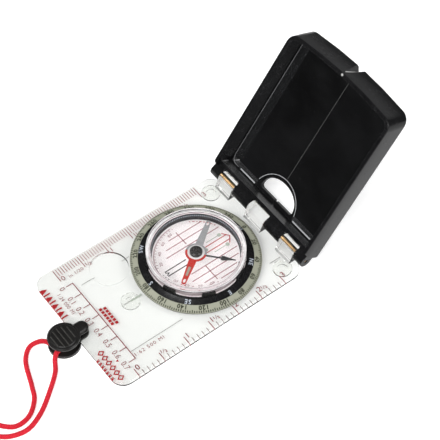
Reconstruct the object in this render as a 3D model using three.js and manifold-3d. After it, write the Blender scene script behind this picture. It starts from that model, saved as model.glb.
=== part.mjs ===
// Sighting baseplate compass: clear ruler plate, rotating bezel with a liquid capsule,
// needle, tilt pointer, adjustable orienting disc, mirror lid on a hinge and a lanyard clip.
// Millimetres, +Z up. Origin: lowest face of the baseplate, directly below the capsule pivot.
// +Y runs from the pivot towards the hinge of the lid, +X to the right of it.
import * as THREE from "three";
import { mergeVertices } from "three/addons/utils/BufferGeometryUtils.js";
import Module from "manifold-3d";

const wasm = await Module();
wasm.setup();

// ---------- driving dimensions ----------
const PLATE_W = 66.5; // overall width of the ruler plate
const PLATE_Y0 = -63.8; // lanyard end
const PLATE_Y1 = 34.6; // hinge end
const PLATE_T = 2.2; // height of the top face
const PLATE_R = 6; // corner radius
const EDGE = 0.4; // broken edge of the plate
const BOSS_R = 24; // round boss under the capsule, the lowest face of the plate
const BOSS_H = 0.1;

const FOOT_R = 4.35;
const FOOT_H = 0.8;
const FEET = { left: [-25.8, 27.7], right: [25.8, 27.7], front: [0, -35] };

const LENS_AT = [-18.7, -33.2]; // reading lens moulded into the plate
const LENS_R = 8.6;
const LENS_SINK = 0.85; // drop from the crown of the lens to its edge
const LENS_TOP = PLATE_T - 0.02;

const SEG = 64; // facets of the large turned rings
const GROOVE_IN = 25.2; // annular groove that carries the bezel skirt
const GROOVE_OUT = 26.8;
const GROOVE_FLOOR = 0.85;
const SNAP_IN = 26.2; // split ring that keeps the bezel in the plate
const SNAP_OUT = 27.1;
const SNAP_Z0 = 1.5;
const SNAP_T = 0.4;

const BEZEL_R = 28.9;
const BEZEL_BORE = 21.95;
const DIAL_IN = 25.35; // black inner ring ends here, pale scale ring begins
const GRIP_COUNT = 8;
const GRIP_HALF_ANGLE = 8.25;
const CUP_R = 21.85; // capsule outer radius
const CUP_IN = 20.5;
const CUP_Z0 = 3.85;
const CUP_FLOOR = 4.6;
const CUP_TOP = 8.3;
const WINDOW_Z0 = 8.65;
const WINDOW_Z1 = 10.5;

const PIN_R = 0.6; // needle pivot
const GEAR_M = 0.3; // module of the orienting disc's toothed arc and its pinion
const DISC_TEETH = 140; // on the full circle
const PINION_TEETH = 13;
const TOOTH = { tip: 0.22, root: 0.3, tipHalf: 0.1, rootHalf: 0.29 }; // heights, half widths
const DISC_Z0 = 2.8;
const DISC_Z1 = 3.5;
const DISC_TRAVEL = 80; // degrees each way
const SCREW_Y = (GEAR_M * (DISC_TEETH + PINION_TEETH)) / 2 + 0.02;
const POCKET_Z0 = 2.2; // pocket in the bezel for the pinion
const POCKET_Z1 = 3.85;

const NEEDLE_ANGLE = -55.4; // direction of the north arm at rest, degrees from +X
const NEEDLE_LEN = 17.4;
const NEEDLE_TAIL = 18.0;
const NEEDLE_Z0 = 6.5;
const NEEDLE_Z1 = 6.75;
const POINTER_ANGLE = 42.6; // tilt pointer at rest
const POINTER_LEN = 17.6;
const POINTER_Z0 = 5.2;
const POINTER_Z1 = 5.5;

const HINGE_Y = 35.2;
const HINGE_Z = 6.7;
const KNUCKLE_R = 3.0;
const HINGE_PIN_R = 0.85;
const HINGE_PIN_IN = 9; // inner and outer ends of each pin
const HINGE_PIN_OUT = 31.8;
const HINGE_BORE = 0.92;
const LUG_MID = 5.7; // half width of the middle clear lug
const LUG_IN = 16.9; // outer clear lugs
const LUG_OUT = 26.5;
const LUG_ROOT_Y = 30.6;
const LUG_GAP = 0.4; // play between the clear lugs and the lid
const EAR_IN = LUG_OUT + LUG_GAP; // lid ears

const LID_ANGLE = 54.1; // lid plane above the plate at rest
const LID_HALF_W = 64.8 / 2;
const LID_RIM = 4.3; // lid rim in front of the hinge axis
const LID_BACK = -7.4;
const LID_BEND = -1; // from this z to the rim the hinge end leans away from the hinge
const LID_HINGE_END = 1.2;
const LID_LEAN = 3.0;
const LID_WALL = 1.9;
const LID_END = 75.4; // rim length at the corners
const LID_CROWN = 1.6; // extra length at the centre
const LID_SLOPE = 0.3; // end wall leans outwards with depth
const CAVITY_Y0 = 5.9;
const MIRROR_Z = -4.4;
const MIRROR_T = 0.9;
const CAVITY_FLOOR = MIRROR_Z - MIRROR_T - 0.1;

const CLIP_Y = -69; // centre of the two finger discs
const CLIP_R = 7.0;
const CLIP_PIVOT_Y = -65.6;
const CLIP_PIVOT_Z = 2.0;
const CLIP_BORE = 0.68;
const CORD_R = 1.0;

// ---------- materials ----------
const material = (color, { roughness, metalness = 0, opacity = 1 }) =>
  new THREE.MeshStandardMaterial({
    color,
    roughness,
    metalness,
    opacity,
    transparent: opacity < 1,
  });
const CLEAR = material(0xe9efe9, { roughness: 0.06, opacity: 0.3 });
const BLACK = material(0x101112, { roughness: 0.22 });
const SATIN = material(0x161616, { roughness: 0.45 });
const OLIVE = material(0xa3a58a, { roughness: 0.5 });
const SILICONE = material(0xe4e6e2, { roughness: 0.5, opacity: 0.5 });
const BRASS = material(0xc9a25a, { roughness: 0.3, metalness: 1 });
const STEEL = material(0xb9bcc0, { roughness: 0.3, metalness: 1 });
const RED = material(0xc62a1c, { roughness: 0.4 });
const CORD = material(0xd8203a, { roughness: 0.8 });
const SAPPHIRE = material(0xa02040, { roughness: 0.1 });
const MIRROR = material(0xd0d4d8, { roughness: 0.02, metalness: 1 });
const RUBBER = material(0x202020, { roughness: 0.8 });

// ---------- solids and meshes ----------
const radians = THREE.MathUtils.degToRad;
const degrees = THREE.MathUtils.radToDeg;

// A geometry with its shared corners merged, as a solid that can be joined and cut.
function solid(geometry) {
  geometry.deleteAttribute("normal");
  geometry.deleteAttribute("uv");
  const merged = mergeVertices(geometry, 1e-4);
  const corners = new Uint32Array(merged.index.array);
  const make = () =>
    new wasm.Manifold(
      new wasm.Mesh({
        numProp: 3,
        vertProperties: new Float32Array(merged.attributes.position.array),
        triVerts: corners,
      }),
    );
  const body = make();
  if (body.volume() >= 0) return body;
  // inside out: turn every triangle over
  for (let i = 0; i < corners.length; i += 3) {
    [corners[i + 1], corners[i + 2]] = [corners[i + 2], corners[i + 1]];
  }
  return make();
}

function add(parent, name, body, finish) {
  const { vertProperties, triVerts } = body.getMesh();
  const geometry = new THREE.BufferGeometry()
    .setAttribute("position", new THREE.Float32BufferAttribute(vertProperties, 3))
    .setIndex(new THREE.Uint32BufferAttribute(triVerts, 1));
  geometry.computeVertexNormals();
  const mesh = new THREE.Mesh(geometry, finish);
  mesh.name = name;
  parent.add(mesh);
}

function addGroup(parent, angle = 0) {
  const group = new THREE.Group();
  group.rotation.z = radians(angle);
  parent.add(group);
  return group;
}

const union = (...bodies) => bodies.reduce((sum, body) => sum.add(body));
const cut = (body, ...tools) => tools.reduce((rest, tool) => rest.subtract(tool), body);

// Solid of revolution about Z from a [radius, z] profile that starts and ends on the axis
const disc = (profile, facets = SEG) =>
  solid(
    new THREE.LatheGeometry(
      profile.map(([radius, z]) => new THREE.Vector2(radius, z)),
      facets,
    ).rotateX(Math.PI / 2),
  );
// Turned ring from a [radius, z] profile that closes on itself
const ring = (profile, facets = SEG) => disc([...profile, profile[0]], facets);
const rod = (radius, zFrom, zTo, facets = 24, x = 0, y = 0) =>
  solid(
    new THREE.CylinderGeometry(radius, radius, zTo - zFrom, facets)
      .rotateX(Math.PI / 2)
      .translate(x, y, (zFrom + zTo) / 2),
  );
// Cylinder along X
const bar = (radius, xFrom, xTo, y, z, facets = 24) =>
  solid(
    new THREE.CylinderGeometry(radius, radius, xTo - xFrom, facets)
      .rotateZ(Math.PI / 2)
      .translate((xFrom + xTo) / 2, y, z),
  );
const box = (xFrom, xTo, yFrom, yTo, zFrom, zTo) =>
  solid(
    new THREE.BoxGeometry(xTo - xFrom, yTo - yFrom, zTo - zFrom).translate(
      (xFrom + xTo) / 2,
      (yFrom + yTo) / 2,
      (zFrom + zTo) / 2,
    ),
  );
const shapeOf = (points) => new THREE.Shape(points.map(([x, y]) => new THREE.Vector2(x, y)));
const extrude = (points, depth) =>
  new THREE.ExtrudeGeometry(shapeOf(points), { depth, bevelEnabled: false });
const prism = (points, zFrom, zTo) =>
  solid(extrude(points, zTo - zFrom).translate(0, 0, zFrom));
// Prism along X from a [y, z] outline
const slab = (points, xFrom, xTo) =>
  solid(
    extrude(points, xTo - xFrom)
      .rotateY(Math.PI / 2)
      .rotateX(Math.PI / 2)
      .translate(xFrom, 0, 0),
  );

// Solid through counter-clockwise outlines of equal point count, in order of rising z.
function loft(sections) {
  const count = sections[0].points.length;
  const positions = [];
  const corner = (level, i) => [...sections[level].points[i % count], sections[level].z];
  for (let k = 0; k + 1 < sections.length; k++) {
    for (let i = 0; i < count; i++) {
      positions.push(...corner(k, i), ...corner(k, i + 1), ...corner(k + 1, i + 1));
      positions.push(...corner(k, i), ...corner(k + 1, i + 1), ...corner(k + 1, i));
    }
  }
  const cap = (level, facesDown) => {
    const outline = sections[level].points.map(([x, y]) => new THREE.Vector2(x, y));
    for (const triangle of THREE.ShapeUtils.triangulateShape(outline, [])) {
      if (facesDown) triangle.reverse();
      for (const i of triangle) positions.push(...corner(level, i));
    }
  };
  cap(0, true);
  cap(sections.length - 1, false);
  return solid(
    new THREE.BufferGeometry().setAttribute(
      "position",
      new THREE.Float32BufferAttribute(positions, 3),
    ),
  );
}

// ---------- outlines ----------
const polar = (radius, angle) => [
  radius * Math.cos(radians(angle)),
  radius * Math.sin(radians(angle)),
];
const arc = (centreX, centreY, radius, from, to, steps) =>
  Array.from({ length: steps + 1 }, (_, i) => {
    const [x, y] = polar(radius, from + ((to - from) * i) / steps);
    return [centreX + x, centreY + y];
  });
const roundRect = (xMin, xMax, yMin, yMax, radius) => [
  ...arc(xMax - radius, yMin + radius, radius, -90, 0, 6),
  ...arc(xMax - radius, yMax - radius, radius, 0, 90, 6),
  ...arc(xMin + radius, yMax - radius, radius, 90, 180, 6),
  ...arc(xMin + radius, yMin + radius, radius, 180, 270, 6),
];
// Lower half of an outline, completed by its mirror image in the X axis
const symmetric = (points) => [...points, ...points.map(([x, y]) => [x, -y]).reverse()];
// Ranges of x on the right and on the left of the centre line
const bothSides = (inner, outer) => [
  [inner, outer],
  [-outer, -inner],
];

// ---------- baseplate ----------
function baseplate() {
  const section = (inset, z) => ({
    points: roundRect(
      -PLATE_W / 2 + inset,
      PLATE_W / 2 - inset,
      PLATE_Y0 + inset,
      PLATE_Y1 - inset,
      PLATE_R - inset,
    ),
    z,
  });
  const slate = loft([
    section(EDGE, BOSS_H),
    section(0, BOSS_H + EDGE),
    section(0, PLATE_T - EDGE * 1.6),
    section(EDGE * 1.8, PLATE_T),
  ]);
  const body = cut(
    union(slate, rod(BOSS_R, 0, 0.5, SEG)),
    bezelGroove(),
    lensRecess().translate([...LENS_AT, 0]),
  );
  const outerLugs = bothSides(LUG_IN, LUG_OUT).map((span) => hingeLug(...span));
  const bores = bothSides(LUG_IN - 1, LUG_OUT + 1).map((span) =>
    bar(HINGE_BORE, ...span, HINGE_Y, HINGE_Z, 20),
  );
  return cut(union(body, hingeLug(-LUG_MID, LUG_MID), ...outerLugs), ...bores);
}

// Groove for the bezel skirt, with an undercut in its outer wall for the snap ring
function bezelGroove() {
  const slotR = SNAP_OUT + 0.15;
  const slotZ0 = SNAP_Z0 - 0.08;
  const slotZ1 = SNAP_Z0 + SNAP_T + 0.04;
  return ring([
    [GROOVE_IN, GROOVE_FLOOR], [GROOVE_OUT, GROOVE_FLOOR],
    [GROOVE_OUT, slotZ0], [slotR, slotZ0], [slotR, slotZ1], [GROOVE_OUT, slotZ1],
    [GROOVE_OUT, PLATE_T + 1], [GROOVE_IN, PLATE_T + 1],
  ]);
}

// Space above the domed lens, which stays just below the plate's top face
function lensRecess() {
  const dome = Array.from({ length: 5 }, (_, i) => {
    const share = i / 4;
    return [LENS_R * share, LENS_TOP - LENS_SINK * share ** 2];
  });
  return disc([...dome, [LENS_R + 0.35, PLATE_T + 1], [0, PLATE_T + 1]], 36);
}

const hingeLug = (xFrom, xTo) =>
  slab(
    [
      [LUG_ROOT_Y, PLATE_T - 0.6], [PLATE_Y1 - 0.8, PLATE_T - 0.6], [PLATE_Y1, 0.9],
      ...arc(HINGE_Y, HINGE_Z, KNUCKLE_R, -62, 172, 12),
      [LUG_ROOT_Y, PLATE_T],
    ],
    xFrom,
    xTo,
  );

// Foot with a shallow dish in its underside
const foot = () =>
  disc(
    [
      [0, -FOOT_H + 0.25], [2.2, -FOOT_H + 0.25], [2.6, -FOOT_H],
      [FOOT_R - 0.5, -FOOT_H], [FOOT_R, -FOOT_H + 0.4],
      [FOOT_R, BOSS_H - 0.02], [0, BOSS_H - 0.02],
    ],
    36,
  );

// C-shaped ring in the plate's groove, its gap at -Y
const snapRing = () =>
  prism(
    [...arc(0, 0, SNAP_OUT, -84, 264, 48), ...arc(0, 0, SNAP_IN, 264, -84, 48)],
    SNAP_Z0,
    SNAP_Z0 + SNAP_T,
  );

const hingePin = ([xFrom, xTo]) => bar(HINGE_PIN_R, xFrom, xTo, HINGE_Y, HINGE_Z, 20);

// ---------- bezel ----------
function bezelRing() {
  const body = ring([
    [BEZEL_BORE, 2.4], [25.5, 2.4],
    [25.5, 1.05], [26.45, 1.05], [26.45, 1.3], [26.05, 1.42], [26.05, 2.4], // skirt
    [BEZEL_R - 0.15, 2.4], [BEZEL_R, 2.5], [BEZEL_R, 2.72],
    [DIAL_IN + 0.02, 3.82], [DIAL_IN, 4.42],
    [23.1, 5.2], [22.9, 5.3], [BEZEL_BORE, 5.3],
  ]);
  const grips = Array.from({ length: GRIP_COUNT }, (_, k) => gripLug(k));
  return cut(
    union(body, ...grips),
    rod(2.45, POCKET_Z0, POCKET_Z1, 28, 0, SCREW_Y), // pocket for the pinion
    box(-1.6, 1.6, 20, SCREW_Y, POCKET_Z0, POCKET_Z1), // opening towards the disc
    rod(0.98, 3, 6, 20, 0, SCREW_Y), // bore for the screw
    rod(1.3, 4.75, 7, 24, 0, SCREW_Y), // seat for its head
  );
}

// Raised grip lug between two of the eight compass points, narrower at the top
function gripLug(index) {
  const pitch = 360 / GRIP_COUNT;
  const middle = pitch * (index + 0.5);
  const section = (outerR, half, z) => ({
    points: [
      ...arc(0, 0, outerR, middle - half, middle + half, 5),
      ...arc(0, 0, BEZEL_BORE + 0.02, middle + half, middle - half, 5),
    ],
    z,
  });
  return loft([section(23.0, GRIP_HALF_ANGLE, 5.1), section(22.6, GRIP_HALF_ANGLE - 0.8, 8.1)]);
}

const luminousScale = () =>
  ring([
    [DIAL_IN + 0.1, 3.88], [BEZEL_R - 0.03, 2.8], [BEZEL_R, 2.95],
    [BEZEL_R - 0.1, 3.25], [DIAL_IN + 0.1, 4.36],
  ]);

// ---------- capsule ----------
// Cup with a short stub below the centre of its floor
const capsuleCup = () =>
  disc([
    [0, 2.95], [0.9, 2.95], [0.9, CUP_Z0],
    [CUP_R, CUP_Z0], [CUP_R, CUP_TOP],
    [CUP_IN, CUP_TOP], [CUP_IN, CUP_FLOOR], [0, CUP_FLOOR],
  ]);

function capsuleSeal() {
  const bottom = CUP_TOP + 0.04;
  const top = WINDOW_Z0 - 0.04;
  return ring([[20.7, bottom], [21.6, bottom], [21.6, top], [20.7, top]], 48);
}

// Window with a fine V groove round its top face
const capsuleWindow = () =>
  disc([
    [0, WINDOW_Z0], [CUP_R, WINDOW_Z0],
    [CUP_R, WINDOW_Z1 - 0.25], [CUP_R - 0.25, WINDOW_Z1],
    [20.2, WINDOW_Z1], [20.0, WINDOW_Z1 - 0.3], [19.8, WINDOW_Z1],
    [0, WINDOW_Z1],
  ]);

const innerScale = () =>
  ring([[19.2, CUP_FLOOR + 0.05], [20.35, CUP_FLOOR + 0.05], [20.35, 8.2], [19.75, 8.2]]);

const pivotPin = () =>
  disc(
    [
      [0, CUP_FLOOR + 0.02], [1.3, CUP_FLOOR + 0.02], [1.3, CUP_FLOOR + 0.3],
      [PIN_R, CUP_FLOOR + 0.45], [PIN_R, 6.5], [0.05, 7.35], [0, 7.35],
    ],
    20,
  );

// ---------- orienting disc with its toothed arc, and the screw that turns it ----------
const pitchRadius = (teeth) => (GEAR_M * teeth) / 2;

// A run of teeth on a pitch circle; gaps wider than teeth give the play.
function toothOutline(teeth, firstAngle, count) {
  const tip = pitchRadius(teeth) + TOOTH.tip;
  const root = pitchRadius(teeth) - TOOTH.root;
  const tipHalf = degrees(TOOTH.tipHalf / tip);
  const rootHalf = degrees(TOOTH.rootHalf / root);
  return Array.from({ length: count }, (_, i) => {
    const angle = firstAngle + (360 / teeth) * i;
    return [
      polar(root, angle - rootHalf),
      polar(tip, angle - tipHalf),
      polar(tip, angle + tipHalf),
      polar(root, angle + rootHalf),
    ];
  }).flat();
}

// Teeth centred on +Y, plain edge at root radius for the rest of the circle
function orientingDisc() {
  const step = 360 / DISC_TEETH;
  const teethEachWay = Math.ceil((DISC_TRAVEL + 7) / step);
  const half = teethEachWay * step;
  const plainR = pitchRadius(DISC_TEETH) - TOOTH.root;
  const outline = [
    ...toothOutline(DISC_TEETH, 90 - half, 2 * teethEachWay + 1),
    ...arc(0, 0, plainR, 90 + half + 2, 450 - half - 2, 35),
  ];
  return cut(prism(outline, DISC_Z0, DISC_Z1), rod(1.0, DISC_Z0 - 1, DISC_Z1 + 1));
}

// Pinion, shank and slotted head
function declinationScrew() {
  // a gap of the pinion faces the disc, towards -Y
  const firstTooth = -90 + 180 / PINION_TEETH;
  const body = union(
    prism(toothOutline(PINION_TEETH, firstTooth, PINION_TEETH), DISC_Z0, DISC_Z1),
    rod(0.9, DISC_Z1 - 0.1, 5.2, 20),
    rod(1.08, 4.9, 6.4),
  );
  return cut(body, box(-2, 2, -0.28, 0.28, 5.8, 7)).translate([0, SCREW_Y, 0]);
}

// ---------- tilt pointer, pointing along +X of its own frame ----------
function tiltPointer() {
  const arrow = symmetric([
    [0, -0.42], [11.2, -0.3], [11.0, -1.05], [12.0, -1.15], [16.2, -0.28],
    [POINTER_LEN, -0.22],
  ]);
  return cut(
    union(rod(1.5, POINTER_Z0, POINTER_Z1), prism(arrow, POINTER_Z0, POINTER_Z1)),
    rod(1.05, 5, 6, 20),
  );
}

const pointerBush = () =>
  ring([[0.66, 5.1], [1.3, 5.1], [1.3, 5.16], [1.0, 5.18], [1.0, 5.65], [0.66, 5.65]], 20);

// ---------- needle, north arm along +X of its own frame ----------
// side is 1 for the north arm and -1 for the tail
function needleArm(side, tip) {
  const halfW = 1.1; // at the shoulder, where the arm starts to round off
  const outline = symmetric([
    [4.0, -1.75], [tip - 2.2, -halfW], [tip - 0.6, -halfW * 0.92], [tip, -halfW * 0.35],
  ]);
  return prism(outline.map(([x, y]) => [side * x, y]), NEEDLE_Z0, NEEDLE_Z1);
}

// Oval hole near the tip of an arm
function needleEye(side, tip) {
  const outline = Array.from({ length: 14 }, (_, i) => {
    const [x, y] = polar(1, (i / 14) * 360);
    return [side * (tip - 1.8) + 1.1 * x, 0.6 * y];
  });
  return prism(outline, 6, 7.5);
}

function needleBlade() {
  const hub = ring(
    [[3.55, NEEDLE_Z0], [4.75, NEEDLE_Z0], [4.75, NEEDLE_Z1], [3.55, NEEDLE_Z1]],
    36,
  );
  return cut(
    union(hub, needleArm(1, NEEDLE_LEN), needleArm(-1, NEEDLE_TAIL)),
    needleEye(1, NEEDLE_LEN),
    needleEye(-1, NEEDLE_TAIL),
  );
}

const needleHubDisc = () => ring([[1.15, 6.05], [4.6, 6.05], [4.6, 6.44], [1.15, 6.44]], 28);

const needleHubCap = () =>
  disc(
    [
      [0, 8.02], [1.0, 8.02], [1.0, 6.48], [2.75, 6.48],
      [2.75, 7.9], [2.3, 8.32], [0, 8.32],
    ],
    32,
  );

const jewelBearing = () =>
  disc([[0, 7.42], [0.95, 6.6], [0.97, 6.6], [0.97, 7.98], [0, 7.98]], 20);

// ---------- mirror lid ----------
// Drawn in its own frame: X across, Y away from the hinge, Z out of the mirror.
const leaningHingeEnd = (z) =>
  LID_HINGE_END + (LID_LEAN * Math.max(0, z - LID_BEND)) / (LID_RIM - LID_BEND);

function lidSection(z, inset, hingeEnd = leaningHingeEnd(z)) {
  const side = LID_HALF_W - inset;
  const end = LID_END + (LID_RIM - z) * LID_SLOPE - inset;
  const farR = 5.2 - inset;
  const nearR = 1.0;
  return {
    points: [
      ...arc(side - nearR, hingeEnd + nearR, nearR, -90, 0, 3),
      ...arc(side - farR, end - farR, farR, 0, 86, 7),
      [14, end + LID_CROWN * 0.72],
      [0, end + LID_CROWN],
      [-14, end + LID_CROWN * 0.72],
      ...arc(-side + farR, end - farR, farR, 94, 180, 7),
      ...arc(-side + nearR, hingeEnd + nearR, nearR, 180, 270, 3),
    ],
    z,
  };
}

// D-shaped opening: straight edge towards the hinge, half ellipse away from it
function deeOutline({ halfW, bottom, top, cornerR }) {
  const centreY = bottom + cornerR;
  const bow = Array.from({ length: 15 }, (_, i) => {
    const [x, y] = polar(1, ((i + 1) / 16) * 180);
    return [halfW * x, centreY + (top - centreY) * y];
  });
  return [
    ...arc(halfW - cornerR, centreY, cornerR, -90, 0, 4),
    ...bow,
    ...arc(-halfW + cornerR, centreY, cornerR, 180, 270, 4),
  ];
}

function lidTray() {
  const inside = LID_HALF_W - LID_WALL;
  return cut(
    loft([
      lidSection(LID_BACK, 1.1, LID_HINGE_END + 1.1),
      lidSection(LID_BACK + 0.9, 0.15),
      lidSection(LID_BEND, 0),
      lidSection(LID_RIM - 0.3, 0),
      lidSection(LID_RIM, 0.25),
    ]),
    loft([
      lidSection(CAVITY_FLOOR, LID_WALL, CAVITY_Y0),
      lidSection(LID_BEND, LID_WALL, CAVITY_Y0),
      lidSection(LID_RIM + 1, LID_WALL - 0.2, CAVITY_Y0),
    ]),
    box(-inside, inside, -5, 8, 2.0, 8), // lowers the rim along the hinge end
  );
}

// Barrel round the hinge axis with the web that joins it to the lid
const knuckle = (xFrom, xTo) =>
  union(
    bar(KNUCKLE_R, xFrom, xTo, 0, 0, 28),
    slab([[-1.4, -2.6], [3.4, -3.6], [3.4, 2.0], [0.2, 2.9]], xFrom, xTo),
  );

// Room for a clear lug and its root on the plate
const lugRoom = (xFrom, xTo) =>
  union(
    bar(KNUCKLE_R + 0.35, xFrom, xTo, 0, 0, 28),
    box(xFrom, xTo, -4, 4.2, -0.6, 6),
  );

function lidShell() {
  const knuckles = [
    ...bothSides(LUG_MID + LUG_GAP, LUG_IN - LUG_GAP),
    ...bothSides(EAR_IN, LID_HALF_W - 0.15),
  ];
  const lugRooms = [
    [-LUG_MID - LUG_GAP, LUG_MID + LUG_GAP],
    ...bothSides(LUG_IN - LUG_GAP, LUG_OUT + LUG_GAP),
  ];
  const pinBores = bothSides(HINGE_PIN_IN - 0.1, LID_HALF_W + 1);
  const window = deeOutline({ halfW: 10.6, bottom: 7.4, top: 16.6, cornerR: 1.4 });
  const windowNotch = [[-0.9, 8], [0, 5.9], [0.9, 8]];
  const endGroove = [[-5.8, 84.4], [-0.3, 77.3], [0.3, 77.3], [5.8, 84.4]];
  return cut(
    union(lidTray(), ...knuckles.map((span) => knuckle(...span))),
    ...lugRooms.map((span) => lugRoom(...span)),
    ...pinBores.map((span) => bar(HINGE_BORE, ...span, 0, 0, 20)),
    // sighting window through the back, and the notch in its lower bar
    prism(window, LID_BACK - 1, 0),
    prism(windowNotch, LID_BACK - 1, 0),
    // sighting groove down the far end wall, deepest at the back, and the dimple at its rim end
    prism(endGroove, LID_BACK - 1, LID_RIM + 1),
    rod(0.6, LID_RIM - 0.6, LID_RIM + 1, 20, 0, 76.1),
  );
}

function mirrorPlate() {
  const side = LID_HALF_W - LID_WALL - 0.35;
  const nearR = 3;
  const nearY = 6.3 + nearR;
  const farR = 3.2;
  const farY = 72.2;
  const outline = [
    ...arc(-side + nearR, nearY, nearR, 180, 270, 5),
    ...arc(side - nearR, nearY, nearR, -90, 0, 5),
    ...arc(side - farR, farY, farR, 0, 84, 5),
    [0, 76.6],
    ...arc(-side + farR, farY, farR, 96, 180, 5),
  ];
  const opening = deeOutline({ halfW: 12.6, bottom: 5.0, top: 18.6, cornerR: 1.2 });
  return cut(prism(outline, MIRROR_Z - MIRROR_T, MIRROR_Z), prism(opening, -8, 0));
}

// ---------- lanyard clip ----------
const clipBar = (radius, xFrom, xTo, facets) =>
  bar(radius, xFrom, xTo, CLIP_PIVOT_Y, CLIP_PIVOT_Z, facets);

function clipLowerLever() {
  const jawZ0 = -1.3;
  const jawZ1 = -0.12;
  const ears = bothSides(2.0, 3.2).flatMap((span) => [
    box(...span, CLIP_PIVOT_Y - 1.2, CLIP_PIVOT_Y + 1.2, 0.1, CLIP_PIVOT_Z),
    clipBar(1.2, ...span, 20),
  ]);
  return cut(
    union(
      rod(CLIP_R, jawZ0, 0.3, 44, 0, CLIP_Y),
      box(-3.1, 3.1, CLIP_Y + 4, -60.6, jawZ0, jawZ1),
      rod(3.1, jawZ0, jawZ1, 28, 0, -60.3),
      ...ears,
      rod(1.1, 0.2, 2.8, 20, 0, -72.3), // post for the cord
    ),
    clipBar(CLIP_BORE, -4, 4, 16),
    box(-9, 9, PLATE_Y0 - 0.3, -50, jawZ1, 1), // the plate's edge slides in here
  );
}

// [z, inset] stations of the upper jaw
const JAW_STATIONS = [[2.3, 0.9], [3.2, 0.1], [4.2, 0], [4.9, 0.45], [5.3, 1.1], [5.5, 1.9]];

// Rounded jaw, as wide as its tip all the way back to the finger disc
const upperJaw = () =>
  loft(
    JAW_STATIONS.map(([z, inset]) => ({
      points: roundRect(
        -3.1 + inset,
        3.1 - inset,
        CLIP_Y + 4,
        -57.1 - inset,
        Math.max(0.7, 3.0 - inset),
      ),
      z,
    })),
  );

// One of the five grooves across the top of the upper finger disc, k from -2 to 2
function fingerGroove(k) {
  const y = -69.5 + 2.05 * k;
  const halfLength = Math.sqrt(5.7 ** 2 - (y - CLIP_Y) ** 2) - 0.4;
  const outline = [[y - 0.5, 7], [y - 0.18, 5.4], [y + 0.18, 5.4], [y + 0.5, 7]];
  return slab(outline, -halfLength, halfLength);
}

function clipUpperLever() {
  const fingerDisc = disc(
    [
      [0, 3.9], [CLIP_R - 0.5, 3.9], [CLIP_R, 4.3], [CLIP_R, 5.1],
      [CLIP_R - 0.5, 5.6], [CLIP_R - 1.3, 5.6], [CLIP_R - 1.6, 5.9], [0, 5.9],
    ],
    36,
  );
  return cut(
    union(
      fingerDisc.translate([0, CLIP_Y, 0]),
      upperJaw(),
      box(-1.75, 1.75, CLIP_PIVOT_Y - 1.3, CLIP_PIVOT_Y + 1.3, CLIP_PIVOT_Z, 4.4),
      clipBar(1.3, -1.75, 1.75, 20),
    ),
    ...[-2, -1, 0, 1, 2].map(fingerGroove),
    clipBar(CLIP_BORE, -4, 4, 16),
  );
}

// C-shaped leaf spring standing between the two finger discs, on the -Y side of the pivot
const clipSpring = () =>
  slab(
    [
      [-67.15, 0.36], [-67.15, 0.62], [-67.6, 0.62],
      ...arc(-67.45, 1.9, 1.15, 238, 122, 6),
      [-67.6, 3.2], [-67.15, 3.2], [-67.15, 3.46], [-67.7, 3.46],
      ...arc(-67.45, 1.9, 1.42, 118, 242, 6),
      [-67.7, 0.36],
    ],
    -1.6,
    1.6,
  );

// ---------- lanyard: one cord round the post, both ends led away ----------
// [x, y, z] of the cord's centre line
const CORD_PATH = [
  [-1.9, -74.3, 1.6], [-4.4, -75.2, 1.45], [-6.6, -77.2, 0.6], [-7.4, -81.4, -0.25],
  [-3.3, -86.2, -0.3], [9.1, -91.1, -0.3], [14.8, -93.6, -0.3], [20.2, -99.8, -0.3],
  [20.8, -106.2, -0.3], [17.6, -110.4, -0.3], [13.2, -113.4, -0.3], [10.6, -117.6, -0.3],
  [13.2, -121.2, -0.3], [17.6, -119.8, -0.3], [19.8, -115.4, -0.3], [23.2, -110.6, -0.3],
  [24.9, -103.5, -0.3], [22.0, -95.4, -0.3], [15.2, -86.2, -0.3], [9.2, -79.6, 0.2],
  [4.6, -76.6, 1.35], [2.7, -74.2, 1.6], [2.3, -71.7, 1.7], [0.9, -70.05, 1.7],
  [-0.9, -70.05, 1.7], [-2.3, -71.5, 1.7], [-2.35, -72.6, 1.65],
];

function lanyardCord() {
  const points = CORD_PATH.map((point) => new THREE.Vector3(...point));
  const hexagon = arc(0, 0, CORD_R, 30, 330, 5);
  return solid(
    new THREE.ExtrudeGeometry(shapeOf(hexagon), {
      steps: 64,
      bevelEnabled: false,
      extrudePath: new THREE.CatmullRomCurve3(points, false, "centripetal"),
    }),
  );
}

// ---------- assembly ----------
const root = new THREE.Group();
const capsule = addGroup(root);

add(root, "baseplate", baseplate(), CLEAR);
for (const [place, [x, y]] of Object.entries(FEET)) {
  add(root, "foot_" + place, foot().translate([x, y, 0]), SILICONE);
}
add(root, "bezel_snap_ring", snapRing(), STEEL);
const [rightPin, leftPin] = bothSides(HINGE_PIN_IN, HINGE_PIN_OUT);
add(root, "hinge_pin_left", hingePin(leftPin), BRASS);
add(root, "hinge_pin_right", hingePin(rightPin), BRASS);

add(capsule, "bezel_ring", bezelRing(), BLACK);
add(capsule, "luminous_scale_ring", luminousScale(), OLIVE);
add(capsule, "capsule_cup", capsuleCup(), CLEAR);
add(capsule, "capsule_seal", capsuleSeal(), RUBBER);
add(capsule, "capsule_window", capsuleWindow(), CLEAR);
add(capsule, "inner_scale_ring", innerScale(), SATIN);
add(capsule, "pivot_pin", pivotPin(), STEEL);
add(capsule, "orienting_disc", orientingDisc(), CLEAR);
add(capsule, "declination_screw", declinationScrew(), STEEL);

const pointer = addGroup(capsule, POINTER_ANGLE);
add(pointer, "tilt_pointer", tiltPointer(), SATIN);
add(pointer, "tilt_pointer_bush", pointerBush(), BRASS);

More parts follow.
